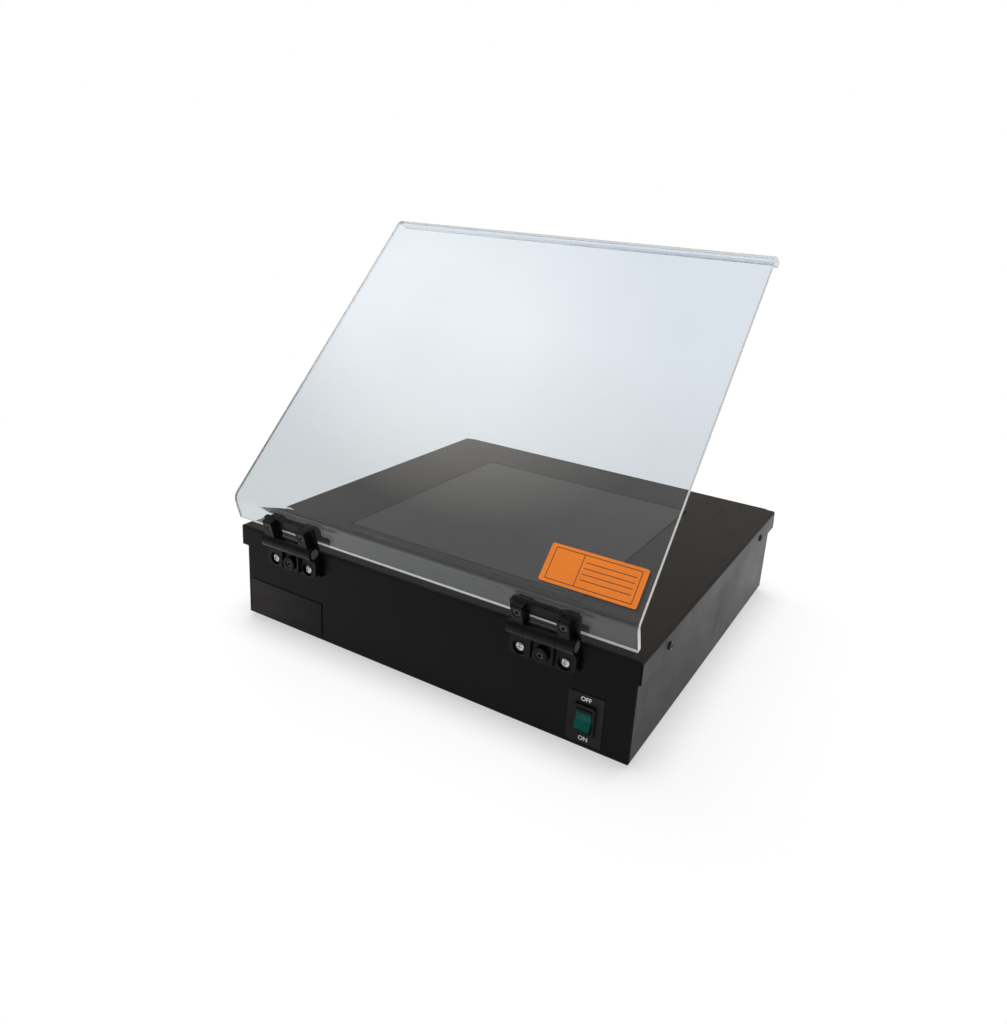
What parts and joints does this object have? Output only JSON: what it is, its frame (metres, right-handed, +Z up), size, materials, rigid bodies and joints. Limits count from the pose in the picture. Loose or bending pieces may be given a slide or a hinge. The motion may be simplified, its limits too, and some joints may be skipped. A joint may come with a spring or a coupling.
{
  "type": "uv transilluminator",
  "caption": "Bench viewing box: folded black sheet housing, flush filter glass over lamps, clear bent cover on friction hinges, rocker switch in front, mains inlet behind.",
  "frame": {"origin": "on the bench, under the middle of the whole assembly as it stands with its cover open; the undersides of the feet are at Z 0", "axes": "+X to the right seen from the front, the side with the switch; +Y from the hinges at the front towards the mains inlet at the rear; +Z up"},
  "size_m": [0.3332, 0.3258, 0.3021],
  "materials": {
    "housing_paint": "satin black powder coat with a fine texture",
    "dark_screws": "black oxide",
    "zinc_steel": "zinc plated",
    "nickel_screws": "bright nickel plate",
    "torque_steel": "blackened steel",
    "rubber": "matte black rubber",
    "filter_glass": "polished dark filter glass",
    "bright_sheet": "bright rolled sheet",
    "lamp_glass": "tube glass",
    "fuse_glass": "clear glass",
    "white_plastic": "moulded white plastic",
    "ballast_paint": "white enamel",
    "hinge_plastic": "moulded black plastic with a low sheen",
    "clear_acrylic": "clear polished acrylic",
    "orange_film": "printed orange film",
    "grey_film": "dark grey film",
    "black_plastic": "moulded black plastic",
    "green_plastic": "translucent green plastic",
    "brass": "plain brass",
    "contact_metal": "nickel plate"
  },
  "bodies": {
    "housing": {"chassis": "housing_paint", "lid": "housing_paint", "lid_screws": "dark_screws", "lid_nuts": "zinc_steel", "feet": "rubber", "foot_screws": "zinc_steel", "filter_glass": "filter_glass", "filter_seal": "rubber", "filter_frame": "zinc_steel", "reflector": "bright_sheet", "lamp_tubes": "lamp_glass", "lamp_caps": "bright_sheet", "lamp_holders": "white_plastic", "lamp_rails": "zinc_steel", "ballasts": "ballast_paint", "ballast_screws": "zinc_steel", "hinge_packs": "housing_paint", "hinge_base_left": "hinge_plastic", "hinge_base_right": "hinge_plastic", "hinge_screws": "nickel_screws", "hinge_nuts": "zinc_steel", "hinge_pins": "zinc_steel", "torque_screws": "torque_steel", "name_plate": "grey_film", "switch_plate": "grey_film", "switch_body": "black_plastic", "switch_terminals": "brass", "inlet_body": "black_plastic", "inlet_pins": "contact_metal", "inlet_screws": "dark_screws", "inlet_nuts": "zinc_steel", "earth_stud": "brass"},
    "cover": {"hinge_arm_left": "hinge_plastic", "hinge_arm_right": "hinge_plastic", "hinge_caps": "hinge_plastic", "cover_panel": "clear_acrylic", "cover_bolts": "dark_screws", "cover_nuts": "dark_screws", "cover_label": "orange_film"},
    "rocker": {"rocker": "green_plastic"},
    "fuse_drawer": {"fuse_drawer": "black_plastic", "fuses": "fuse_glass"}
  },
  "joints": [
    {"name": "cover_hinge", "type": "hinge", "parent": "housing", "child": "cover", "pos_m": [-0.0025, -0.15551, 0.0774], "axis": [1, 0, 0], "range_deg": [-47.4, 140]},
    {"name": "rocker_tip", "type": "hinge", "parent": "housing", "child": "rocker", "pos_m": [0.131, -0.14691, 0.0245], "axis": [1, 0, 0], "range_deg": [0, 24]},
    {"name": "fuse_drawer_slide", "type": "slide", "parent": "housing", "child": "fuse_drawer", "axis": [0, 1, 0], "range_m": [0, 0.018]}
  ]
}
